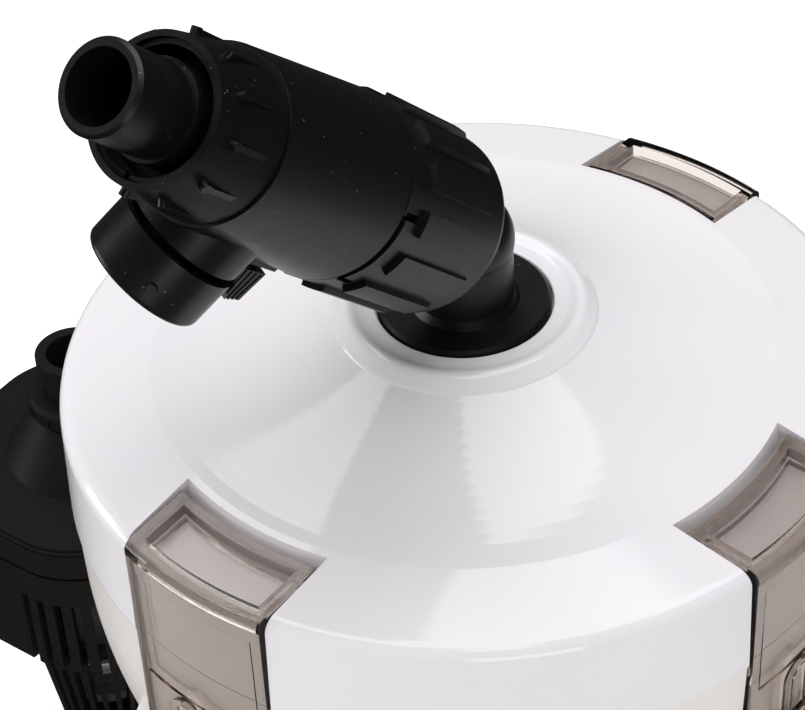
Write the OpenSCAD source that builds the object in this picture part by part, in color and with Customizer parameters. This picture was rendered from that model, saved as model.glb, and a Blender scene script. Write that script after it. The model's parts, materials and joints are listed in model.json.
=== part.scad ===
// Round canister filter for an aquarium, with a swivelling hose valve in its lid
// and a small motor pump that hangs on the container by suction cups.
// Units are millimetres. +Z is up, z = 0 is the floor, and the origin is on the canister's axis.

/* [Canister] */
// Outer radius of the lid's side wall
lid_r = 80; // [78:0.5:82]
// Height of the lid's top rim above the floor
rim_z = 190; // [186:1:196]
// Height of the lid's side wall, from its rim down to the seam
lid_side_h = 24; // [22:1:26]
// Wall thickness of the lid
lid_wall = 3; // [2.6:0.1:3.4]
// Wall thickness of the container
can_wall = 3; // [2.6:0.1:3.4]
// Radius of the container's lower wall, below its shoulder
waist_r = 71.3; // [70.8:0.1:71.8]
// How much the lower wall narrows down to the floor, on the radius
can_draft = 1.3; // [0.8:0.1:1.6]

/* [Clips] */
// Width of a clip
clip_w = 33; // [32:0.1:33.4]
// Thickness of a clip's outer panel
clip_t = 2.4; // [2:0.1:2.4]
// Gap between a clip and each side of its recess in the lid
clip_gap = 0.7; // [0.5:0.1:1]
// Height of the clip hinges below the lid's rim
hinge_drop = 58; // [56:0.5:59]
// Distance of the clip hinges from the canister's axis
hinge_r = 82.6; // [82.4:0.1:83]
// Radius of the clip hinge pins
hinge_pin_r = 1.5; // [1.3:0.1:1.7]

/* [Hose valve] */
// Direction in which the valve points in plan
valve_az = 269; // [240:1:300]
// Angle of the valve above the horizontal
valve_el = 43.85; // [40:0.5:50]
// Height of the elbow's bend above the lid's rim
bend_h = 28.4; // [27:0.2:31]
// Radius of the elbow tube
elbow_r = 9.7; // [9.5:0.1:9.8]
// Radius of the elbow's flange
flange_r = 16.9; // [16:0.1:17.4]
// Radius of the water passage
bore_r = 6.25; // [5.5:0.05:6.5]
// Outer radius of the hose nozzle
nozzle_r = 8; // [7.8:0.1:8.2]
// Distance of the nozzle's tip from the bend
nozzle_s = 114.1; // [112:0.5:116]
// Number of grip ribs on the hose nut
nut_ribs = 11; // [10:1:14]
// Number of grip pads on the coupling ring
ring_pads = 13; // [9:1:14]
// Distance of the tap knob's axis from the bend
knob_s = 70.1; // [69:0.1:71]
// Direction of the tap knob about the valve's axis, from straight below
knob_dir = -22.7; // [-30:1:-15]

/* [Pump] */
// Distance of the pump's axis from the canister's axis
pump_reach = 113.3; // [112.5:0.1:114]
// Direction of the pump from the canister's axis
pump_az = 185; // [184:0.2:186]
// How far the pump sits to one side of that direction
pump_side = 2.5; // [0:0.5:3]
// Width of the pump's square head
head_w = 62; // [62:0.5:64]
// Corner radius of the pump's head
head_corner = 20; // [19:0.2:20]
// Height of the head's top face above the floor
head_top = 110; // [109:0.5:111]
// Height of the head's underside above the floor
head_bottom = 70; // [69:0.5:71]
// Radius of the strainer column at its foot
column_foot_r = 10.5; // [10:0.1:11]
// Height of the strainer column's foot above the floor
column_foot_z = 22; // [20:1:24]
// Number of slots in the strainer column
column_slots = 8; // [7:1:8]

/* [Filter media] */
// Height of one media basket
basket_h = 50; // [46:1:50]
// Outer radius of the media baskets
basket_r = 66; // [64:0.5:66.5]

/* [Hidden] */
$fn = 96;
EPS = 0.01;
GAP = 0.3;
FIT = 0.05;

// Shared heights and radii
seam_z = rim_z - lid_side_h;
can_top_r = lid_r + 0.6;
rim_in_r = 75.4;
can_foot_r = waist_r - can_draft;
can_foot_z = 14;
shoulder_z = rim_z - 36;
shoulder_r = 105;
neck_r = 36;
shoulder_x = can_top_r - 0.3 - shoulder_r;
shoulder_turn = acos((waist_r + neck_r - shoulder_x) / (shoulder_r + neck_r));
waist_z = shoulder_z - (shoulder_r + neck_r) * sin(shoulder_turn);
floor_z = 8;
crown_z = rim_z + 12.9;
seat_z = rim_z + 10.6;
seat_bottom = rim_z + 7;
spigot_r = 12.9;
skirt_r = 74.9;
hinge_z = rim_z - hinge_drop;
CLIP_AZ = [270, 0, 90, 180];
recess_half = clip_w / 2 + clip_gap;
recess_floor = rim_z - 4.5;
grid_z = 48;
lower_z = grid_z + 4;
upper_z = lower_z + basket_h + 1;
panel_out = lid_r + 1.1;
channel_r = 78.3;

// Inner and outer faces of the return port's boss, from the canister's axis
return_back = 64;
return_face = 74;

// Stations along the valve's axis, from the bend
ring_s0 = 14;
ring_s1 = 49;
body_s1 = 84.3;
nut_s0 = 84.6;
nut_s1 = 100.1;
knob_mouth = 20;
knob_end = 30.4;
plug_r = 9.5;
stem_r = 4;

// Pump
groove_z = head_top - 8.5;
cup_z = [75.8, 94.8];
cup_y = [-9.5, 9.5];
gland_x = -4;
gland_z = 86;
OUTLET = [1.6, 3.7];
column_x = head_w / 2 - head_corner;
column_top = groove_z - 0.4;
slot_a0 = -97;
slot_step = 13;
column_knee_z = 88;
column_knee_r = 19.4;
rotor_r = 6;
thimble_z = 66;
impeller_z = 53;
SCREWS = [[-24.5, -12], [-24.5, 14], [8, 24.5]];

// Points of an arc, from angle a0 to angle a1
function arc(cx, cy, r, a0, a1, n = 8) =
    [for (i = [0:n]) let (a = a0 + (a1 - a0) * i / n) [cx + r * cos(a), cy + r * sin(a)]];

// Radius of the container's outer wall at height z, below its shoulder
function waist(z) = can_foot_r + can_draft * (z - can_foot_z) / (waist_z - can_foot_z);

// Wall outline from the rim over the shoulder to the waist, moved in by inset
function shoulder(inset) = concat(
    arc(shoulder_x, shoulder_z, shoulder_r - inset, 0, -shoulder_turn, 8),
    arc(waist_r + neck_r, waist_z, neck_r + inset, 180 - 0.8 * shoulder_turn, 180, 4));

function reverse(points) = [for (i = [len(points) - 1:-1:0]) points[i]];

// Solid of revolution between radii r0 and r1
module tube(r1, r0, z0, z1) {
    translate([0, 0, z0])
        difference() {
            cylinder(r = r1, h = z1 - z0);
            if (r0 > 0) {
                translate([0, 0, -1]) cylinder(r = r0, h = z1 - z0 + 2);
            }
        }
}

// Ring of round section
module o_ring(r, minor) {
    rotate_extrude() translate([r, 0]) circle(r = minor, $fn = 32);
}

// Square with round corners, made of exact arcs
module round_square(w, r) {
    square([w, w - 2 * r], center = true);
    square([w - 2 * r, w], center = true);
    for (x = [-1, 1], y = [-1, 1]) {
        translate([x * (w / 2 - r), y * (w / 2 - r)]) circle(r = r);
    }
}

// Frames in which the moving assemblies are drawn
module valve_frame() {
    translate([0, 0, rim_z + bend_h])
        rotate([0, 0, valve_az])
            rotate([0, 90 - valve_el, 0])
                children();
}

module knob_frame() {
    valve_frame()
        translate([0, 0, knob_s])
            rotate([0, 0, knob_dir])
                rotate([0, 90, 0])
                    children();
}

module pump_frame() {
    rotate([0, 0, pump_az - 180])
        translate([-pump_reach, -pump_side, 0])
            children();
}

module column_frame() {
    pump_frame() translate([column_x, -column_x, 0]) children();
}

// ---------------------------------------------------------------- canister

module base_pad() {
    color("dimgray") cylinder(r = 60, h = 2.5);
}

module container_shell() {
    rotate_extrude()
        polygon(concat(
            [[0, floor_z], [55, floor_z], [55, 2.5], [60, 2.5], [62, 5]],
            arc(can_foot_r - 7, can_foot_z, 7, -60, 0, 6),
            reverse(shoulder(0)),
            [[can_top_r, seam_z], [rim_in_r, seam_z], [rim_in_r, shoulder_z - 4]],
            [for (p = shoulder(can_wall)) if (p[0] < rim_in_r - 0.3) p],
            [[can_foot_r - can_wall, can_foot_z + 4],
             [can_foot_r - can_wall - 4, floor_z + can_wall], [0, floor_z + can_wall]]));
}

// Shallow channel down the rim for one clip
module clip_channel() {
    intersection() {
        tube(95, channel_r, hinge_z - 6, seam_z + 1);
        translate([50, -recess_half, hinge_z - 7]) cube([50, 2 * recess_half, 60]);
    }
}

// Pair of hinge lugs that carry one clip's pin
module hinge_lugs() {
    for (side = [-1, 1]) {
        translate([0, side * (clip_w / 2 + 0.5 + 2.2), hinge_z])
            rotate([90, 0, 0])
                linear_extrude(height = 4.4, center = true)
                    difference() {
                        union() {
                            translate([hinge_r, 0]) circle(r = 3.6);
                            polygon([[70.9, -12], [hinge_r + 0.5, -3.57],
                                     [hinge_r + 0.5, 3.57], [75.6, 12]]);
                        }
                        translate([hinge_r, 0]) circle(r = hinge_pin_r);
                    }
    }
}

module container() {
    color([0.93, 0.92, 0.91])
        difference() {
            union() {
                container_shell();
                for (az = CLIP_AZ) {
                    rotate([0, 0, az]) hinge_lugs();
                }
                // Flat boss for the return nozzle
                return_frame()
                    translate([0, 0, return_back]) cylinder(r = 16, h = return_face - return_back);
            }
            for (az = CLIP_AZ) {
                rotate([0, 0, az]) clip_channel();
            }
            return_frame() translate([0, 0, 50]) cylinder(r = 9.5, h = 40);
        }
}

module bottom_grid() {
    color([0.25, 0.25, 0.26])
        difference() {
            union() {
                tube(basket_r, 11, grid_z, grid_z + 3);
                for (a = [0:60:300]) {
                    rotate([0, 0, a]) translate([51, 0, floor_z + can_wall])
                        cylinder(r = 3, h = grid_z - floor_z - can_wall + 1);
                }
            }
            for (r = [20, 31, 42, 60], a = [0:30:330]) {
                rotate([0, 0, a + r]) translate([r, 0, grid_z - 1]) cylinder(r = 3.2, h = 5);
            }
        }
}

// Media tray with a slotted floor, a centre sleeve and a carrying lip
module basket(z0) {
    translate([0, 0, z0])
        difference() {
            union() {
                tube(basket_r, basket_r - 1.6, 0, basket_h);
                tube(basket_r, 12, 0, 2);
                tube(13.6, 12, 0, basket_h);
                tube(basket_r + 1.2, basket_r - 1.6, basket_h - 3, basket_h);
            }
            for (a = [0:15:345]) {
                rotate([0, 0, a]) translate([20, -1.6, -1]) cube([40, 3.2, 4]);
            }
            for (a = [0:30:330], z = [10, 28]) {
                rotate([0, 0, a]) translate([basket_r - 6, -5, z]) cube([12, 10, 12]);
            }
        }
}

module lower_basket() {
    color([0.3, 0.3, 0.31]) basket(lower_z);
}

module upper_basket() {
    color([0.3, 0.3, 0.31]) basket(upper_z);
}

module ceramic_rings() {
    color([0.86, 0.82, 0.75])
        for (layer = [0:2], r = [22, 38, 54]) {
            for (i = [0:floor(r / 4.2) - 1]) {
                rotate([0, 0, 360 * i / floor(r / 4.2) + 9 * layer])
                    translate([r, 0, lower_z + 2.2 + 14.4 * layer])
                        tube(7, 4, 0, 14);
            }
        }
}

module coarse_sponge() {
    color([0.15, 0.2, 0.45]) tube(basket_r - 2.2, 14.2, upper_z + 2.2, upper_z + 25);
}

module fine_sponge() {
    color([0.9, 0.9, 0.86]) tube(basket_r - 2.2, 14.2, upper_z + 25.5, upper_z + 48);
}

module inlet_tube() {
    color([0.2, 0.2, 0.21])
        difference() {
            tube(9.4, 7.6, 24, rim_z + 4);
            for (a = [0:90:270]) {
                rotate([0, 0, a]) translate([0, -2.5, 23]) cube([12, 5, 9]);
            }
        }
}

// Frame of the return port, at the back of the container near the floor
module return_frame() {
    rotate([0, 0, 135]) translate([0, 0, 32]) rotate([0, 90, 0]) children();
}

module return_nozzle() {
    color([0.1, 0.1, 0.1])
        return_frame()
            difference() {
                union() {
                    translate([0, 0, return_face - 16]) cylinder(r = 9.4, h = 20);
                    translate([0, 0, return_face + 2]) cylinder(r = 15, h = 4);
                    translate([0, 0, return_face + 6]) cylinder(r1 = 11, r2 = 9, h = 3);
                    translate([0, 0, return_face + 9]) cylinder(r = nozzle_r, h = 22);
                }
                translate([0, 0, return_face - 20]) cylinder(r = bore_r, h = 60);
            }
}

module return_seal() {
    color([0.2, 0.2, 0.2]) return_frame() tube(14, 9.6, return_face + 0.05, return_face + 1.95);
}

module return_nut() {
    color([0.12, 0.12, 0.12])
        return_frame()
            difference() {
                translate([0, 0, return_back - 6.1]) cylinder(r = 14, h = 6, $fn = 6);
                translate([0, 0, return_back - 7]) cylinder(r = 9.4 + FIT, h = 8);
            }
}

// Outline of the lid: crown ring, trumpet-shaped slope, brim, rim and side wall
function lid_top() =
    let (slope_end = 62, slope_z = rim_z + 2.3, start_r = 24.6, start_z = rim_z + 12,
         drop = start_z - slope_z, run = slope_end - start_r,
         bend = (run * run + drop * drop) / (2 * drop))
    concat(
        [[18.4, seat_z], [20.4, crown_z - 0.6]],
        arc(22.4, crown_z - 2, 2, 130, 35, 6),
        arc(slope_end, slope_z + bend, bend, 270 - asin(run / bend), 270, 14),
        arc(lid_r - 3, rim_z - 3.3, 3.4, 82, 0, 8),
        [[lid_r + 1, seam_z + 1], [lid_r + 0.9, seam_z + GAP]]);

function lid_under() =
    [[skirt_r, seam_z + GAP], [skirt_r, seam_z - 12], [skirt_r - 2.4, seam_z - 12],
     [skirt_r - 2.4, rim_z - 8], [skirt_r - 7, rim_z - 3], [60, rim_z - 0.9],
     [30, rim_z + 4], [21, rim_z + 5.2], [21, seat_bottom], [13, seat_bottom], [13, seat_z]];

// Recess in the lid for one clip: a floor with a sloped inner wall, and a channel down the side
module clip_recess() {
    intersection() {
        rotate_extrude()
            polygon([[62.6, rim_z + 6], [63.5, rim_z + 2.2], [64.6, recess_floor],
                     [channel_r, recess_floor], [channel_r, seam_z - 1], [90, seam_z - 1],
                     [90, rim_z + 6]]);
        translate([50, -recess_half, seam_z - 5]) cube([50, 2 * recess_half, 60]);
    }
}

// Floor and back wall that close a recess underneath
module recess_backing() {
    intersection() {
        rotate_extrude()
            polygon([[61.5, rim_z - 0.5], [lid_r - 1, rim_z - 0.5], [lid_r - 1, seam_z + GAP],
                     [skirt_r - 2.4, seam_z + GAP], [skirt_r - 2.4, recess_floor - 2.4],
                     [61.5, recess_floor - 2.4]]);
        translate([50, -recess_half - 2.4, seam_z - 5]) cube([50, 2 * recess_half + 4.8, 60]);
    }
}

module lid() {
    color([0.95, 0.94, 0.96])
        difference() {
            union() {
                rotate_extrude() polygon(concat(lid_top(), lid_under()));
                for (az = CLIP_AZ) {
                    rotate([0, 0, az]) recess_backing();
                }
            }
            for (az = CLIP_AZ) {
                rotate([0, 0, az]) clip_recess();
            }
            rotate_extrude()
                translate([skirt_r, seam_z - 7]) square([2.2, 2.4], center = true);
        }
}

module lid_seal() {
    color([0.15, 0.15, 0.15])
        translate([0, 0, seam_z - 7])
            o_ring(skirt_r - 0.32, 0.75);
}

// ------------------------------------------------------------------- clips

// Section of a clip: top plate, rounded shoulder, outer panel and hinge end
module clip_section() {
    panel_in = panel_out - clip_t;
    polygon(concat(
        [[65, recess_floor + 0.15], [65, rim_z + 0.3], [65.7, rim_z + 0.9]],
        arc(panel_out - 1.8, rim_z - 1.9, 1.8, 86, 0, 6),
        [[panel_out + 0.2, hinge_z + 12], [hinge_r + 3.15, hinge_z + 1], [hinge_r, hinge_z],
         [hinge_r - 2.6, hinge_z + 1.6],
         [panel_in, hinge_z + 5], [panel_in, recess_floor + 0.15]]));
}

// Raised narrow arch low on the panel
module panel_arch() {
    translate([panel_out - 0.8, -3, hinge_z + 22])
        rotate([90, 0, 90])
            linear_extrude(height = 1.9)
                difference() {
                    union() {
                        circle(r = 4.2);
                        translate([-4.2, -12]) square([8.4, 12]);
                    }
                    circle(r = 2.8);
                    translate([-2.8, -13]) square([5.6, 13]);
                }
}

module clip() {
    difference() {
        union() {
            intersection() {
                rotate_extrude() clip_section();
                translate([50, -clip_w / 2, hinge_z - 10]) cube([50, clip_w, 80]);
            }
            translate([hinge_r, 0, hinge_z])
                rotate([90, 0, 0]) cylinder(r = 3.2, h = clip_w, center = true);
            panel_arch();
        }
        // Sunken window in the top plate, which leaves a raised frame
        intersection() {
            rotate_extrude()
                polygon([[67.4, rim_z - 1.5], [lid_r - 2.6, rim_z - 2.3], [lid_r - 2.6, rim_z + 4],
                         [67.4, rim_z + 4]]);
            translate([50, -clip_w / 2 + 2.6, rim_z - 5]) cube([50, clip_w - 5.2, 10]);
        }
        // Hollow under the top plate, so that its walls are even
        intersection() {
            rotate_extrude()
                polygon([[67.4, recess_floor - 1], [panel_out - clip_t - 1.2, recess_floor - 1],
                         [panel_out - clip_t - 1.2, rim_z - 3.6], [67.4, rim_z - 2.9]]);
            translate([50, -clip_w / 2 + 2.4, recess_floor - 2]) cube([50, clip_w - 4.8, 10]);
        }
        // Shallow panel inside a raised border on the outer face
        intersection() {
            rotate_extrude()
                polygon([[panel_out - 0.4, rim_z - 6], [panel_out + 2, rim_z - 5],
                         [panel_out + 2, hinge_z + 26], [panel_out - 0.4, hinge_z + 26]]);
            translate([50, -clip_w / 2 + 2.2, hinge_z]) cube([50, clip_w - 4.4, 60]);
        }
        translate([hinge_r, 0, hinge_z])
            rotate([90, 0, 0]) cylinder(r = hinge_pin_r + FIT, h = clip_w + 2, center = true);
    }
}

module clip_front() {
    color([0.72, 0.67, 0.64, 0.5]) rotate([0, 0, CLIP_AZ[0]]) clip();
}

module clip_right() {
    color([0.72, 0.67, 0.64, 0.5]) rotate([0, 0, CLIP_AZ[1]]) clip();
}

module clip_back() {
    color([0.72, 0.67, 0.64, 0.5]) rotate([0, 0, CLIP_AZ[2]]) clip();
}

module clip_left() {
    color([0.72, 0.67, 0.64, 0.5]) rotate([0, 0, CLIP_AZ[3]]) clip();
}

module clip_pins() {
    color("silver")
        for (az = CLIP_AZ) {
            rotate([0, 0, az])
                translate([hinge_r, 0, hinge_z])
                    rotate([90, 0, 0])
                        cylinder(r = hinge_pin_r, h = clip_w + 9.8, center = true);
        }
}

// -------------------------------------------------------------- hose valve

module elbow() {
    color([0.12, 0.12, 0.12])
        difference() {
            union() {
                tube(spigot_r, 0, seat_bottom - 8, seat_z + 1);
                translate([0, 0, seat_z]) cylinder(r = flange_r, h = 2.9);
                translate([0, 0, seat_z + 2.9]) cylinder(r1 = flange_r, r2 = flange_r - 0.6, h = 0.6);
                translate([0, 0, seat_z + 3]) cylinder(r1 = elbow_r + 1.4, r2 = elbow_r, h = 2);
                tube(elbow_r, 0, seat_z + 2, rim_z + bend_h);
                translate([0, 0, rim_z + bend_h]) sphere(r = elbow_r + 0.3);
                valve_frame() cylinder(r = elbow_r, h = 30);
                valve_frame() translate([0, 0, 25.5]) cylinder(r = 13.6, h = 4.5);
            }
            translate([0, 0, seat_bottom - 9]) cylinder(r = 9.5, h = 8);
            translate([0, 0, seat_bottom - 2]) cylinder(r = 7.4, h = rim_z + bend_h - seat_bottom + 2);
            translate([0, 0, rim_z + bend_h]) sphere(r = 7.8);
            valve_frame() cylinder(r = 7.4, h = 40);
            translate([0, 0, seat_z - 2.6]) tube(spigot_r + 1, spigot_r - 1.3, 0, 1.6);
        }
}

module elbow_seal() {
    color([0.2, 0.2, 0.2])
        translate([0, 0, seat_z - 1.8]) o_ring(spigot_r - 0.62, 0.65);
}

module elbow_nut() {
    color([0.15, 0.15, 0.15])
        union() {
            tube(19, spigot_r + FIT, seat_bottom - 6, seat_bottom - 0.1);
            for (a = [0:45:315]) {
                rotate([0, 0, a]) translate([18.5, -1.5, seat_bottom - 6]) cube([1.8, 3, 4]);
            }
        }
}

module coupling_seal() {
    color([0.3, 0.3, 0.3]) valve_frame() tube(12, 8, 30.05, 31.6);
}

// Grip ring that holds the valve against the elbow
module coupling_ring() {
    ring_out = 17.3;
    pad_out = ring_out + 1.1;
    color([0.12, 0.12, 0.12])
        valve_frame()
            difference() {
                union() {
                    rotate_extrude()
                        polygon(concat(
                            [[elbow_r + GAP, ring_s0], [14.4, ring_s0]],
                            arc(14.8, ring_s0 + 2.5, 2.5, -80, 0, 6),
                            [[ring_out, ring_s0 + 7], [ring_out, ring_s1], [14.9, ring_s1],
                             [14.9, ring_s0 + 11.3], [elbow_r + GAP, ring_s0 + 11.3]]));
                    // Raised grip pads
                    for (i = [0:ring_pads - 1]) {
                        rotate([0, 0, 360 * i / ring_pads + 118.7])
                            intersection() {
                                rotate_extrude()
                                    polygon([[ring_out - 0.5, ring_s0 + 5.5],
                                             [ring_out - 0.2, ring_s0 + 5.5],
                                             [pad_out, ring_s0 + 7.5], [pad_out, ring_s0 + 29],
                                             [ring_out - 0.5, ring_s0 + 29]]);
                                translate([5, -2.4, ring_s0]) cube([30, 4.8, 40]);
                            }
                    }
                }
                // Curved snap slot with a short hook at each end
                ring_slot();
            }
}

// Cut that frees the ring's snap tongue, along its front edge
module ring_slot() {
    a0 = 36;
    a1 = 92;
    intersection() {
        tube(20, 16, ring_s1 - 1.4, ring_s1 + 1);
        linear_extrude(height = 80)
            polygon(concat([[0, 0]], arc(0, 0, 40, a0, a1, 8)));
    }
    for (a = [a0, a1]) {
        rotate([0, 0, a]) translate([15.7, -0.7, ring_s1 - 4.6]) cube([4, 1.4, 4]);
    }
}

module valve_body() {
    color([0.12, 0.12, 0.12])
        difference() {
            union() {
                valve_frame() {
                    tube(14.6, 0, 31.7, ring_s1 + 2);
                    translate([0, 0, ring_s1 + GAP])
                        cylinder(r1 = 17.3, r2 = 15.4, h = body_s1 - ring_s1 - GAP);
                    tube(13, 0, body_s1 - 1, nut_s0 + 8.3);
                    tube(8.6, 0, nut_s0 + 8, nut_s1);
                    tube(nozzle_r, 0, nut_s1 - 1, nozzle_s - 0.6);
                    translate([0, 0, nozzle_s - 0.6])
                        cylinder(r1 = nozzle_r, r2 = nozzle_r - 0.6, h = 0.6);
                    // Snap step on the underside, in line with the latch
                    rotate([0, 0, knob_dir - 22])
                        translate([14.5, -3, ring_s1 + 1]) cube([3, 6, 12]);
                }
                // Boss that takes the plug
                knob_frame() cylinder(r = 11.4, h = 18.4);
                // Guide for the latch tab
                latch_frame() translate([-4.4, -5.4, 10]) cube([8.5, 10.8, 7.3]);
            }
            valve_frame() translate([0, 0, 20]) cylinder(r = bore_r, h = 120);
            valve_frame() translate([0, 0, 30]) cylinder(r = 8, h = 6);
            knob_frame() translate([0, 0, -plug_r - 0.8]) cylinder(r = plug_r + FIT, h = 40);
            latch_frame() translate([-2.7, -3.8, 12.4]) cube([5.4, 7.6, 12]);
        }
}

module valve_plug() {
    color([0.25, 0.25, 0.26])
        knob_frame()
            difference() {
                union() {
                    translate([0, 0, -plug_r]) cylinder(r = plug_r, h = 2 * plug_r);
                    cylinder(r = stem_r, h = knob_end - 2.3);
                }
                rotate([0, 90, 0]) cylinder(r = bore_r, h = 40, center = true);
                translate([0, 0, plug_r - 1.4])
                    rotate_extrude() translate([plug_r, 0]) square([2.6, 1.3], center = true);
            }
}

module plug_seal() {
    color([0.2, 0.2, 0.2])
        knob_frame()
            translate([0, 0, plug_r - 1.4]) o_ring(plug_r - 0.62, 0.6);
}

module plug_gland() {
    color([0.15, 0.15, 0.15])
        knob_frame() tube(plug_r - FIT, stem_r + 2 * FIT, plug_r + 0.2, 17.6);
}

// Round cup knob, open towards the valve's body, with a hub on the plug's stem
module tap_knob() {
    color([0.12, 0.12, 0.12])
        knob_frame() {
            rotate_extrude()
                polygon(concat(
                    [[0, knob_end - 2.2], [stem_r + FIT, knob_end - 2.2], [stem_r + FIT, 18.9], [6, 18.9],
                     [6, knob_end - 2.2], [10.2, knob_end - 2.2], [10.2, knob_mouth],
                     [11.7, knob_mouth]],
                    arc(10.6, knob_end - 1.6, 1.1, 0, 70, 5),
                    [[6, knob_end - 0.25], [0, knob_end]]));
            // Pointer pip on the wall
            rotate([0, 0, 135])
                translate([11, 0, knob_end - 4.3])
                    rotate([0, 90, 0]) cylinder(r1 = 1.3, r2 = 0.9, h = 1.4);
        }
}

// Push tab under the body, with finger grooves
module latch_frame() {
    valve_frame()
        translate([0, 0, 53.4])
            rotate([0, 0, knob_dir])
                rotate([0, 90, 0])
                    children();
}

module latch_tab() {
    color([0.12, 0.12, 0.12])
        latch_frame()
            difference() {
                union() {
                    translate([-2.4, -3.5, 14.8]) cube([4.8, 7, 5]);
                    rotate([90, 0, 0])
                        linear_extrude(height = 10.2, center = true)
                            polygon([[-3.7, 18.8], [3, 18.5], [2.5, 25.1], [-1.3, 25.8]]);
                }
                // Finger grooves on both sides, along the front edge
                for (i = [0:3], side = [-1, 1]) {
                    translate([1.6 - 1.25 * i, side * 5.1, 22.8])
                        rotate([0, -6 + 4 * i, 0]) cube([0.55, 0.9, 8], center = true);
                }
            }
}

module latch_spring() {
    color("silver")
        latch_frame() translate([0, 0, 12.75]) o_ring(1.9, 0.35);
}

// Conical hose nut with small ribs, each ending in a round nub
module hose_nut() {
    color([0.12, 0.12, 0.12])
        valve_frame()
            difference() {
                union() {
                    translate([0, 0, nut_s0])
                        cylinder(r1 = 14.9, r2 = 12.8, h = nut_s1 - nut_s0);
                    for (i = [0:nut_ribs - 1]) {
                        rotate([0, 0, 360 * i / nut_ribs + 91]) {
                            translate([12, -0.55, nut_s0 + 2]) cube([2.45, 1.1, 9]);
                            translate([11, 0, nut_s0 + 11])
                                rotate([0, 90, 0]) cylinder(r = 0.95, h = 3.6);
                        }
                    }
                }
                translate([0, 0, nut_s0 - 1]) cylinder(r = 13.1, h = 9.5);
                translate([0, 0, nut_s0 + 8.49]) cylinder(r1 = 13.1, r2 = 11.7, h = 3);
                translate([0, 0, 90]) cylinder(r = 11.7, h = 20);
            }
}

module clamp_ring() {
    color([0.1, 0.1, 0.1])
        valve_frame()
            difference() {
                tube(11.6, 10.7, 95.4, 99.2);
                translate([0, -0.5, 94]) cube([20, 1, 8]);
            }
}

// -------------------------------------------------------------------- pump

// Tapered round column at the head's front corner; inset shrinks it for the inside
module column_cone(inset) {
    rotate_extrude()
        polygon([[0, column_foot_z], [column_foot_r - inset, column_foot_z],
                 [column_knee_r - inset, column_knee_z], [head_corner - 0.02 - inset, column_top - EPS],
                 [0, column_top - EPS]]);
}

module pump_housing() {
    inside_w = head_w - 5;
    color([0.16, 0.15, 0.15])
        difference() {
            union() {
                pump_frame()
                    translate([0, 0, head_bottom])
                        linear_extrude(height = column_top - head_bottom)
                            round_square(head_w, head_corner + EPS);
                column_frame() column_cone(0);
            }
            pump_frame() {
                translate([0, 0, head_bottom + 2.5])
                    linear_extrude(height = 60) round_square(inside_w, head_corner - 2.5);
                // Sockets for the suction cups
                for (y = cup_y, z = cup_z) {
                    translate([head_w / 2 - 5, y, z]) rotate([0, 90, 0]) cylinder(r = 2.5, h = 10);
                }
                // Hole for the cable gland
                translate([gland_x, head_w / 2 - 6, gland_z]) rotate([-90, 0, 0]) cylinder(r = 5, h = 12);
                for (p = SCREWS) {
                    translate([p[0], p[1], head_bottom - 1]) cylinder(r = 1.8, h = 8);
                }
            }
            column_frame() {
                difference() {
                    translate([0, 0, -EPS]) column_cone(2.5);
                    translate([0, 0, head_bottom + 3]) cylinder(r = 30, h = 60);
                }
                for (i = [0:column_slots - 1]) {
                    rotate([0, 0, slot_a0 + slot_step * i])
                        translate([6, -1, 30]) cube([16, 2, 62.5]);
                }
            }
        }
}

module pump_cover() {
    color([0.07, 0.06, 0.07])
        pump_frame()
            difference() {
                union() {
                    difference() {
                        union() {
                            translate([0, 0, column_top + 0.8])
                                linear_extrude(height = head_top - column_top - 2.3)
                                    round_square(head_w, head_corner);
                            translate([0, 0, head_top - 1.5 - EPS])
                                linear_extrude(height = 0.8)
                                    round_square(head_w - 1, head_corner - 0.5);
                            translate([0, 0, head_top - 0.7 - EPS])
                                linear_extrude(height = 0.7 + EPS)
                                    round_square(head_w - 2.6, head_corner - 1.3);
                            translate([0, 0, groove_z - 3])
                                linear_extrude(height = 4)
                                    round_square(head_w - 5.4, head_corner - 2.7);
                        }
                        translate([0, 0, groove_z - 4])
                            linear_extrude(height = 9.5) round_square(head_w - 9, head_corner - 4.5);
                    }
                    // Bosses that take the screws
                    for (p = SCREWS) {
                        translate([p[0], p[1], head_bottom + 3])
                            cylinder(r = 3.4, h = groove_z - head_bottom + 3);
                    }
                }
                for (p = SCREWS) {
                    translate([p[0], p[1], head_bottom]) cylinder(r = 1.5, h = 36);
                }
                translate([OUTLET[0], OUTLET[1], groove_z]) cylinder(r = 10, h = 20);
            }
}

module cover_seal() {
    color([0.2, 0.2, 0.2])
        pump_frame()
            translate([0, 0, column_top + 0.05])
                linear_extrude(height = 0.7)
                    difference() {
                        round_square(head_w - 1.8, head_corner - 0.9);
                        round_square(head_w - 4.9, head_corner - 2.45);
                    }
}

module cover_screws() {
    color("silver")
        pump_frame()
            for (p = SCREWS) {
                translate([p[0], p[1], head_bottom - 1.6]) {
                    difference() {
                        cylinder(r = 3, h = 1.6);
                        cube([0.8, 3, 1.6], center = true);
                        cube([3, 0.8, 1.6], center = true);
                    }
                    translate([0, 0, 1]) cylinder(r = 1.5, h = 35);
                }
            }
}

module outlet_frame() {
    pump_frame() translate([OUTLET[0], OUTLET[1], head_top]) children();
}

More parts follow.
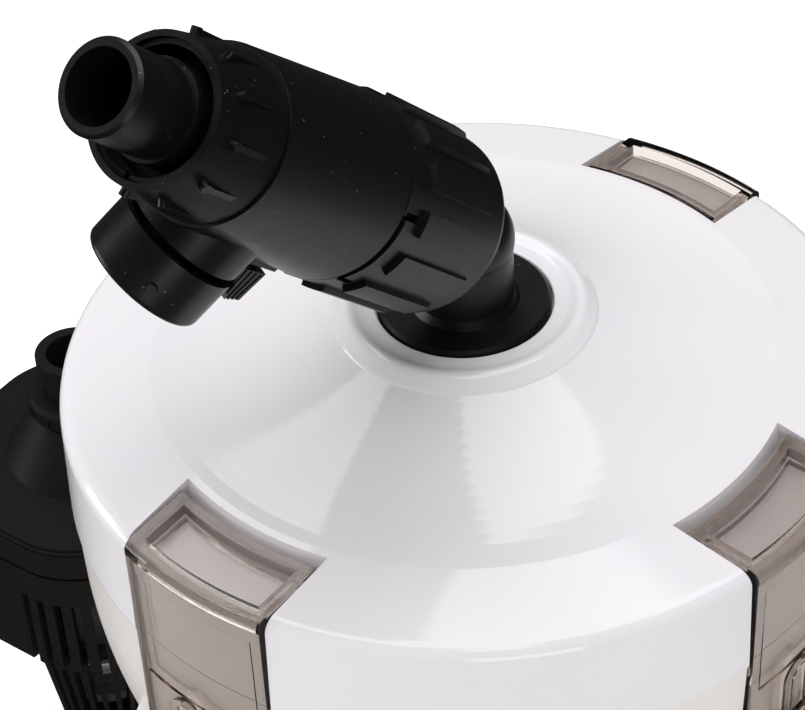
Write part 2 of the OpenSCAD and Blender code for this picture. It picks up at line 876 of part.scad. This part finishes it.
module outlet_nozzle() {
    color([0.07, 0.06, 0.07])
        outlet_frame()
            difference() {
                union() {
                    translate([0, 0, -6.5]) cylinder(r = 13, h = 3.4);
                    translate([0, 0, -6.5]) cylinder(r = 9.9, h = 7);
                    translate([0, 0, 0.05]) cylinder(r1 = 19.5, r2 = 11.4, h = 12.95);
                    translate([0, 0, 1]) cylinder(r = 7.8, h = 21.5);
                    translate([0, 0, 22.4]) cylinder(r1 = 7.8, r2 = 8.8, h = 1.2);
                    translate([0, 0, 23.6]) cylinder(r = 8.8, h = 5.4);
                }
                translate([0, 0, -10]) cylinder(r = bore_r, h = 50);
            }
}

module outlet_seal() {
    color([0.2, 0.2, 0.2]) outlet_frame() tube(10, 7.85, 13.05, 13.95);
}

// Collar that clamps the outlet's base, with small grip ribs
module outlet_nut() {
    color([0.1, 0.1, 0.1])
        outlet_frame()
            translate([0, 0, 14])
                difference() {
                    union() {
                        cylinder(r = 12, h = 3.6);
                        translate([0, 0, 3.6]) cylinder(r1 = 12, r2 = 11, h = 0.8);
                        for (a = [0:30:330]) {
                            rotate([0, 0, a]) translate([11.4, -0.9, 0.5]) cube([1, 1.8, 2.6]);
                        }
                    }
                    translate([0, 0, -1]) cylinder(r = 7.8 + FIT, h = 10);
                }
}

module strainer_cap() {
    color([0.13, 0.12, 0.12])
        column_frame()
            difference() {
                union() {
                    translate([0, 0, column_foot_z - 5])
                        cylinder(r1 = column_foot_r - 1.6, r2 = column_foot_r, h = 1.6);
                    translate([0, 0, column_foot_z - 3.4]) cylinder(r = column_foot_r, h = 3.35);
                    translate([0, 0, column_foot_z - 2]) cylinder(r = column_foot_r - 3, h = 5);
                }
                translate([0, 0, column_foot_z - 3]) cylinder(r = column_foot_r - 4.6, h = 10);
                for (a = [0:60:300]) {
                    rotate([0, 0, a]) translate([3.6, 0, column_foot_z - 8]) cylinder(r = 1.2, h = 8);
                }
            }
}

// Thimble that keeps the water in the rotor's chamber away from the stator
module rotor_can() {
    color([0.2, 0.2, 0.2])
        column_frame()
            difference() {
                union() {
                    translate([0, 0, thimble_z]) cylinder(r = 13.6, h = 1.3);
                    translate([0, 0, thimble_z]) cylinder(r = 8.2, h = 31);
                }
                translate([0, 0, thimble_z - 2]) cylinder(r = 6.6, h = 31.4);
            }
}

module stator_block() {
    color([0.45, 0.3, 0.2])
        difference() {
            pump_frame() translate([-20.5, -12, head_bottom + 5]) cube([38.5, 32.5, 25]);
            column_frame() translate([0, 0, head_bottom]) cylinder(r = 8.7, h = 40);
        }
}

module rotor_magnet() {
    color([0.3, 0.3, 0.32])
        column_frame() tube(rotor_r, 1.5, thimble_z + 1, thimble_z + 26);
}

module impeller() {
    color([0.85, 0.85, 0.85])
        column_frame()
            difference() {
                union() {
                    translate([0, 0, impeller_z]) cylinder(r = 3, h = 11);
                    translate([0, 0, impeller_z + 8]) cylinder(r = 9.5, h = 1.4);
                    for (a = [0:60:300]) {
                        rotate([0, 0, a]) translate([2, -0.6, impeller_z + 2]) cube([7.2, 1.2, 6.5]);
                    }
                }
                translate([0, 0, impeller_z - 1]) cylinder(r = 1.5, h = 20);
            }
}

module rotor_shaft() {
    color("silver")
        column_frame() translate([0, 0, impeller_z - 3.5]) cylinder(r = 1.5, h = 45.5);
}

module shaft_bushes() {
    color([0.8, 0.8, 0.78])
        column_frame() {
            tube(6.55, 1.5 + FIT, thimble_z + 26.3, thimble_z + 29.35);
            tube(4, 1.5 + FIT, impeller_z - 4, impeller_z - 0.4);
        }
}

// Plate under the impeller, with an eye in the middle and a spider for the lower bush
module volute_plate() {
    color([0.2, 0.2, 0.2])
        column_frame() {
            tube(11.4, 7.4, impeller_z - 3, impeller_z - 0.4);
            for (a = [0:120:240]) {
                rotate([0, 0, a]) translate([4.5, -1, impeller_z - 2.8]) cube([4, 2, 1.8]);
            }
            tube(5, 4, impeller_z - 3.8, impeller_z - 0.8);
        }
}

module cable_gland() {
    color([0.1, 0.1, 0.1])
        pump_frame()
            translate([gland_x, head_w / 2 - 2.5, gland_z])
                rotate([-90, 0, 0])
                    difference() {
                        union() {
                            translate([0, 0, -1.5]) cylinder(r = 7, h = 1.4);
                            translate([0, 0, -1]) cylinder(r = 4.95, h = 5);
                            translate([0, 0, 2.6]) cylinder(r1 = 7, r2 = 5, h = 6);
                        }
                        translate([0, 0, -3]) cylinder(r = 3.2, h = 20);
                    }
}

// Four soft cups that hold the pump on the container's round wall
module suction_cups() {
    color([0.3, 0.3, 0.3])
        difference() {
            pump_frame()
                for (y = cup_y, z = cup_z) {
                    translate([head_w / 2, y, z])
                        rotate([0, 90, 0])
                            difference() {
                                union() {
                                    translate([0, 0, -3.2]) cylinder(r = 2.45, h = 4);
                                    translate([0, 0, -3.6]) cylinder(r = 3.1, h = 1);
                                    translate([0, 0, 0.1]) cylinder(r = 3.4, h = 4.5);
                                    translate([0, 0, 4.5]) cylinder(r1 = 3.4, r2 = 8.8, h = 4);
                                    translate([0, 0, 8.5]) cylinder(r1 = 8.8, r2 = 9.3, h = 6.2);
                                }
                                translate([0, 0, 7.6]) cylinder(r1 = 5.4, r2 = 8.3, h = 3);
                                translate([0, 0, 10.6]) cylinder(r = 8.3, h = 6);
                            }
                }
            cylinder(r1 = waist(0) + FIT, r2 = waist(waist_z) + FIT, h = waist_z);
        }
}

base_pad();
container();
bottom_grid();
lower_basket();
upper_basket();
ceramic_rings();
coarse_sponge();
fine_sponge();
inlet_tube();
return_nozzle();
return_seal();
return_nut();
lid();
lid_seal();
clip_front();
clip_right();
clip_back();
clip_left();
clip_pins();
elbow();
elbow_seal();
elbow_nut();
coupling_seal();
coupling_ring();
valve_body();
valve_plug();
plug_seal();
plug_gland();
tap_knob();
latch_tab();
latch_spring();
hose_nut();
clamp_ring();
pump_housing();
pump_cover();
cover_seal();
cover_screws();
outlet_nozzle();
outlet_seal();
outlet_nut();
strainer_cap();
stator_block();
rotor_can();
rotor_magnet();
impeller();
rotor_shaft();
shaft_bushes();
volute_plate();
cable_gland();
suction_cups();
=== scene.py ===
"""Aquarium canister filter: materials, edges, crown lip, stage, light and camera.

Metres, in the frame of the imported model: +Z is up and the floor is z = 0.
"""

import json
import math

import bmesh
import bpy
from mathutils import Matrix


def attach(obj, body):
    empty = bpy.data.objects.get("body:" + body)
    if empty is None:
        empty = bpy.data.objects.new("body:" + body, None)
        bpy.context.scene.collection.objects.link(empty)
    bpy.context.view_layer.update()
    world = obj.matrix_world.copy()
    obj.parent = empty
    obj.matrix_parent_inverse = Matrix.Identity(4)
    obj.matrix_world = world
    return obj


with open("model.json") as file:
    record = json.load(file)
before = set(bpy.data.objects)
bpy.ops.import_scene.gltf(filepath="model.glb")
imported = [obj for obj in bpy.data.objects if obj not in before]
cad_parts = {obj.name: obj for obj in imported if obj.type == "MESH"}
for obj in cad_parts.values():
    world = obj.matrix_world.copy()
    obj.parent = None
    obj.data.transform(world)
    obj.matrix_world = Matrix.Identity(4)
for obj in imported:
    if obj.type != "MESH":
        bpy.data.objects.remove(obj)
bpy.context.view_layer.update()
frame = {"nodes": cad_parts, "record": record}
NODES = frame["nodes"]
MM = 0.001
WHITE = (1.0, 1.0, 1.0, 1.0)


# ---------------------------------------------------------------- materials


class Finish:
    """A principled material with procedural variation in object space."""

    def __init__(self, name):
        self.material = bpy.data.materials.new(name)
        self.material.use_nodes = True
        self.tree = self.material.node_tree
        self.shader = self.tree.nodes["Principled BSDF"]
        self.place = self.tree.nodes.new("ShaderNodeTexCoord").outputs["Object"]

    def set(self, **values):
        for key, value in values.items():
            self.shader.inputs[key.replace("_", " ")].default_value = value
        return self

    def noise(self, size, detail=3.0, stretch=None):
        """Noise whose features are about size metres across."""
        place = self.place
        if stretch:
            mapping = self.tree.nodes.new("ShaderNodeMapping")
            mapping.inputs["Scale"].default_value = stretch
            self.tree.links.new(place, mapping.inputs["Vector"])
            place = mapping.outputs["Vector"]
        node = self.tree.nodes.new("ShaderNodeTexNoise")
        node.inputs["Scale"].default_value = 1.0 / size
        node.inputs["Detail"].default_value = detail
        self.tree.links.new(place, node.inputs["Vector"])
        return node.outputs["Fac"]

    def ramp(self, value, stops):
        node = self.tree.nodes.new("ShaderNodeValToRGB")
        elements = node.color_ramp.elements
        while len(elements) < len(stops):
            elements.new(0.5)
        for element, (position, colour) in zip(elements, stops):
            element.position = position
            element.color = (*colour, 1.0)
        self.tree.links.new(value, node.inputs["Fac"])
        return node.outputs["Color"]

    def colour(self, value, stops):
        self.tree.links.new(self.ramp(value, stops), self.shader.inputs["Base Color"])
        return self

    def roughness(self, value, low, high):
        node = self.tree.nodes.new("ShaderNodeMapRange")
        node.inputs["To Min"].default_value = low
        node.inputs["To Max"].default_value = high
        self.tree.links.new(value, node.inputs["Value"])
        self.tree.links.new(node.outputs["Result"], self.shader.inputs["Roughness"])
        return self

    def bump(self, *layers):
        """Stacked bumps, each (value, height in metres, strength)."""
        normal = None
        for value, height, strength in layers:
            node = self.tree.nodes.new("ShaderNodeBump")
            node.inputs["Distance"].default_value = height
            node.inputs["Strength"].default_value = strength
            self.tree.links.new(value, node.inputs["Height"])
            if normal:
                self.tree.links.new(normal, node.inputs["Normal"])
            normal = node.outputs["Normal"]
        self.tree.links.new(normal, self.shader.inputs["Normal"])
        return self


def speckled(finish, base, light, grain, fleck, threshold):
    """Base colour with soft grain, and a pale fleck where fleck is over threshold."""
    tree = finish.tree
    mix = tree.nodes.new("ShaderNodeMix")
    mix.data_type = "RGBA"
    grain_colour = finish.ramp(grain, [(0.3, base), (0.7, tuple(1.35 * c for c in base))])
    mask = finish.ramp(fleck, [(threshold, (0, 0, 0)), (threshold + 0.02, (1, 1, 1))])
    tree.links.new(mask, mix.inputs["Factor"])
    tree.links.new(grain_colour, mix.inputs["A"])
    mix.inputs["B"].default_value = (*light, 1.0)
    tree.links.new(mix.outputs["Result"], finish.shader.inputs["Base Color"])
    return finish


def gloss_white(name, low, high, rough):
    """White plastic with broad, faint waviness and a fine surface grain."""
    f = Finish(name).set(IOR=1.5)
    broad = f.noise(40 * MM, 2.0)
    f.colour(broad, [(0.35, low), (0.65, high)])
    f.roughness(f.noise(6 * MM), rough, rough + 0.07)
    return f.bump(
        (f.noise(28 * MM, 1.0), 0.12 * MM, 0.35),
        (f.noise(0.7 * MM), 0.01 * MM, 0.25),
    ).material


FLECK_COLOUR = (0.1, 0.1, 0.1)
FLECK_SPACING = 0.55 * MM
FLECK_THRESHOLD = 0.84


def satin_black(name, base, rough, flecks=True):
    """Satin plastic with dust flecks, or without them a duller one."""
    f = Finish(name).set(IOR=1.48, Specular_IOR_Level=0.45 if flecks else 0.1)
    grain = f.noise(0.5 * MM, 4.0)
    if flecks:
        speckled(f, base, FLECK_COLOUR, grain, f.noise(FLECK_SPACING, 0.0), FLECK_THRESHOLD)
    else:
        f.colour(grain, [(0.3, base), (0.7, tuple(1.4 * c for c in base))])
    f.roughness(f.noise(5 * MM), rough, rough + 0.12)
    return f.bump(
        (f.noise(16 * MM, 1.0), 0.08 * MM, 0.3),
        (f.noise(0.35 * MM), 0.02 * MM, 0.5),
    ).material


def smoky_clear():
    """Clear plastic that darkens with the thickness that light passes through."""
    f = Finish("smoky_clear")
    f.set(Transmission_Weight=1.0, IOR=1.47, Base_Color=(0.93, 0.9, 0.87, 1.0))
    f.roughness(f.noise(9 * MM), 0.03, 0.1)
    f.bump((f.noise(14 * MM, 2.0), 0.12 * MM, 0.4))
    absorb = f.tree.nodes.new("ShaderNodeVolumeAbsorption")
    absorb.inputs["Color"].default_value = (0.42, 0.28, 0.2, 1.0)
    absorb.inputs["Density"].default_value = 75.0
    output = f.tree.nodes["Material Output"]
    f.tree.links.new(absorb.outputs["Volume"], output.inputs["Volume"])
    return f.material


def plain(name, low, high, rough, grain=0.6 * MM, height=0.03 * MM):
    f = Finish(name)
    f.colour(f.noise(4 * MM, 4.0), [(0.35, low), (0.65, high)])
    f.roughness(f.noise(3 * MM), rough, rough + 0.12)
    return f.bump((f.noise(grain, 4.0), height, 0.6)).material


def foam(name, low, high):
    f = Finish(name).set(Roughness=0.95)
    cell = f.tree.nodes.new("ShaderNodeTexVoronoi")
    cell.inputs["Scale"].default_value = 1.0 / (1.8 * MM)
    f.tree.links.new(f.place, cell.inputs["Vector"])
    f.colour(cell.outputs["Distance"], [(0.1, low), (0.6, high)])
    return f.bump((cell.outputs["Distance"], 0.6 * MM, 0.8)).material


def brushed_steel():
    f = Finish("steel").set(Metallic=1.0)
    streak = f.noise(0.8 * MM, 3.0, stretch=(1.0, 1.0, 14.0))
    f.colour(streak, [(0.3, (0.5, 0.5, 0.51)), (0.7, (0.7, 0.7, 0.71))])
    f.roughness(streak, 0.22, 0.38)
    return f.bump((streak, 0.01 * MM, 0.4)).material


MATERIALS = {
    "lid_white": gloss_white("lid_white", (0.82, 0.795, 0.83), (0.845, 0.82, 0.85), 0.06),
    "container_white": gloss_white(
        "container_white", (0.82, 0.79, 0.76), (0.845, 0.815, 0.785), 0.2
    ),
    "smoky_clear": smoky_clear(),
    "valve_black": satin_black("valve_black", (0.0042, 0.0038, 0.0040), 0.3),
    "knob_black": satin_black("knob_black", (0.007, 0.006, 0.0065), 0.26),
    "pump_black": satin_black("pump_black", (0.009, 0.008, 0.0075), 0.42, flecks=False),
    "tray_grey": plain("tray_grey", (0.05, 0.05, 0.055), (0.07, 0.07, 0.075), 0.5),
    "seal_rubber": plain("seal_rubber", (0.012, 0.012, 0.012), (0.02, 0.02, 0.02), 0.6),
    "cup_rubber": plain("cup_rubber", (0.02, 0.02, 0.021), (0.035, 0.035, 0.036), 0.45),
    "pad_rubber": plain("pad_rubber", (0.03, 0.03, 0.03), (0.045, 0.045, 0.045), 0.7),
    "ceramic": plain(
        "ceramic", (0.55, 0.47, 0.36), (0.66, 0.58, 0.46), 0.85, 0.9 * MM, 0.2 * MM
    ),
    "sponge_blue": foam("sponge_blue", (0.008, 0.016, 0.06), (0.03, 0.06, 0.2)),
    "sponge_white": foam("sponge_white", (0.6, 0.6, 0.55), (0.8, 0.8, 0.76)),
    "steel": brushed_steel(),
    "magnet": plain("magnet", (0.02, 0.02, 0.022), (0.035, 0.035, 0.037), 0.4),
    "stator": plain("stator", (0.08, 0.04, 0.02), (0.13, 0.07, 0.035), 0.5),
    "impeller_white": plain("impeller_white", (0.62, 0.62, 0.6), (0.7, 0.7, 0.68), 0.4),
}

for entry in frame["record"]["subparts"]:
    slots = NODES[entry["node"]].material_slots
    for one in slots:
        one.material = MATERIALS[entry["material_slot"]]


# ------------------------------------------------------------ softened edges


BEVEL_SEGMENTS = 3
BEVEL_ANGLE = math.radians(38.0)


def soften(node, width):
    """Rounds a node's sharp edges by width metres, inside its CAD shape."""
    piece = NODES[node]
    bevel = piece.modifiers.new("soft_edges", "BEVEL")
    bevel.width = width
    bevel.segments = BEVEL_SEGMENTS
    bevel.limit_method = "ANGLE"
    bevel.angle_limit = BEVEL_ANGLE
    bevel.use_clamp_overlap = True
    bevel.harden_normals = True


EDGE_WIDTHS = {
    0.5 * MM: ["clip_front", "clip_right", "clip_back", "clip_left"],
    0.4 * MM: ["lid", "container", "pump_housing", "pump_cover", "outlet_nozzle"],
    0.3 * MM: ["coupling_ring", "valve_body", "hose_nut", "elbow", "outlet_nut"],
    0.2 * MM: ["latch_tab", "tap_knob", "strainer_cap", "return_nozzle"],
}
for edge_width, names in EDGE_WIDTHS.items():
    for one_name in names:
        soften(one_name, edge_width)


# -------------------------------------------------------------- crown's lip


TURN_STEPS = 96


def turned(name, profile):
    """Closed ring about Z, through the profile's (radius, height) points in mm."""
    mesh = bpy.data.meshes.new(name)
    shape = bmesh.new()
    rings = []
    for i in range(TURN_STEPS):
        turn = 2 * math.pi * i / TURN_STEPS
        rings.append(
            [
                shape.verts.new((r * MM * math.cos(turn), r * MM * math.sin(turn), z * MM))
                for r, z in profile
            ]
        )
    for i in range(TURN_STEPS):
        here, ahead = rings[i], rings[(i + 1) % TURN_STEPS]
        for k in range(len(profile)):
            n = (k + 1) % len(profile)
            shape.faces.new((here[k], ahead[k], ahead[n], here[n]))
    bmesh.ops.recalc_face_normals(shape, faces=shape.faces)
    for face in shape.faces:
        face.smooth = True
    shape.to_mesh(mesh)
    shape.free()
    piece = bpy.data.objects.new(name, mesh)
    bpy.context.scene.collection.objects.link(piece)
    rounding = piece.modifiers.new("rounding", "SUBSURF")
    rounding.levels = 1
    rounding.render_levels = 2
    return piece


# Soft dish between the elbow's flange and the crown's ridge
CROWN_LIP = [
    (17.25, 201.2),
    (17.3, 203.2),
    (17.6, 203.45),
    (19.2, 203.2),
    (20.6, 203.3),
    (21.7, 203.95),
    (22.7, 204.1),
    (23.7, 203.6),
    (24.7, 202.5),
    (26.2, 201.3),
    (26.2, 200.6),
    (22.0, 200.8),
]
lip = turned("crown_lip", CROWN_LIP)
lip.data.materials.append(MATERIALS["lid_white"])
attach(lip, "canister")


# ----------------------------------------------------- stage, light, camera


FLOOR_REACH = 12.0


def floor():
    """Pale paper that gloss mirrors as a dark room."""
    mesh = bpy.data.meshes.new("floor")
    corners = [
        (x * FLOOR_REACH, y * FLOOR_REACH, 0) for x, y in ((-1, -1), (1, -1), (1, 1), (-1, 1))
    ]
    mesh.from_pydata(corners, [], [(0, 1, 2, 3)])
    ground = bpy.data.objects.new("floor", mesh)
    bpy.context.scene.collection.objects.link(ground)
    f = Finish("floor_paper").set(Roughness=0.9)
    f.colour(f.noise(60 * MM), [(0.3, (0.93, 0.93, 0.93)), (0.7, (0.95, 0.95, 0.95))])
    f.set(Emission_Color=WHITE, Emission_Strength=0.35)
    dark = f.tree.nodes.new("ShaderNodeBsdfDiffuse")
    dark.inputs["Color"].default_value = (0.05, 0.05, 0.05, 1.0)
    mix = f.tree.nodes.new("ShaderNodeMixShader")
    f.tree.links.new(mirror_ray(f.tree), mix.inputs["Fac"])
    f.tree.links.new(f.shader.outputs["BSDF"], mix.inputs[1])
    f.tree.links.new(dark.outputs["BSDF"], mix.inputs[2])
    f.tree.links.new(mix.outputs["Shader"], f.tree.nodes["Material Output"].inputs["Surface"])
    mesh.materials.append(f.material)


def area_light(name, place, aim, size, power):
    """Rectangular softbox at place, facing aim."""
    lamp = bpy.data.lights.new(name, "AREA")
    lamp.shape = "RECTANGLE"
    lamp.size, lamp.size_y = size
    lamp.energy = power
    lamp_object = bpy.data.objects.new(name, lamp)
    lamp_object.location = place
    away = [a - b for a, b in zip(place, aim)]
    flat = math.hypot(away[0], away[1])
    lamp_object.rotation_euler = (
        math.atan2(flat, away[2]),
        0.0,
        math.atan2(away[0], -away[1]),
    )
    bpy.context.scene.collection.objects.link(lamp_object)


def mirror_ray(tree):
    """Socket that is 1 on a reflected glossy ray, and 0 on one seen through a clear part."""
    path = tree.nodes.new("ShaderNodeLightPath")
    node = tree.nodes.new("ShaderNodeMath")
    node.operation = "SUBTRACT"
    node.use_clamp = True
    tree.links.new(path.outputs["Is Glossy Ray"], node.inputs[0])
    tree.links.new(path.outputs["Is Transmission Ray"], node.inputs[1])
    return node.outputs["Value"]


def surroundings(strength, reflected):
    """White studio: strength lights the parts, reflected is what gloss mirrors."""
    world = bpy.data.worlds.new("studio")
    world.use_nodes = True
    tree = world.node_tree
    lit = tree.nodes["Background"]
    lit.inputs["Color"].default_value = WHITE
    lit.inputs["Strength"].default_value = strength
    mirrored = tree.nodes.new("ShaderNodeBackground")
    mirrored.inputs["Color"].default_value = WHITE
    mirrored.inputs["Strength"].default_value = reflected
    mix = tree.nodes.new("ShaderNodeMixShader")
    tree.links.new(mirror_ray(tree), mix.inputs["Fac"])
    tree.links.new(lit.outputs["Background"], mix.inputs[1])
    tree.links.new(mirrored.outputs["Background"], mix.inputs[2])
    tree.links.new(mix.outputs["Shader"], tree.nodes["World Output"].inputs["Surface"])
    bpy.context.scene.world = world


CAMERA_PLACE = (0.23305, -0.28071, 0.50056)
CAMERA_TURN = (49.54, 2.366, 39.649)
SENSOR_WIDTH = 36.0
FOCAL_LENGTH = 108.7


def camera():
    lens = bpy.data.cameras.new("camera")
    lens.sensor_width = SENSOR_WIDTH
    lens.lens = FOCAL_LENGTH
    lens.clip_start = 0.01
    eye = bpy.data.objects.new("camera", lens)
    eye.location = CAMERA_PLACE
    eye.rotation_euler = [math.radians(a) for a in CAMERA_TURN]
    bpy.context.scene.collection.objects.link(eye)
    bpy.context.scene.camera = eye


LID_TOP = (0.0, 0.0, 0.19)
OVERHEAD_AIM = (-0.15, 0.05, 0.0)
floor()
surroundings(0.4, 0.02)
area_light("overhead", (-0.15, 0.05, 1.1), OVERHEAD_AIM, (1.2, 0.9), 8.6)
area_light("left", (-1.1, -0.75, 0.35), LID_TOP, (0.6, 0.5), 5.0)
area_light("right", (1.0, -0.8, 0.3), LID_TOP, (0.6, 0.5), 2.6)
camera()
bpy.context.scene.view_settings.view_transform = "Standard"
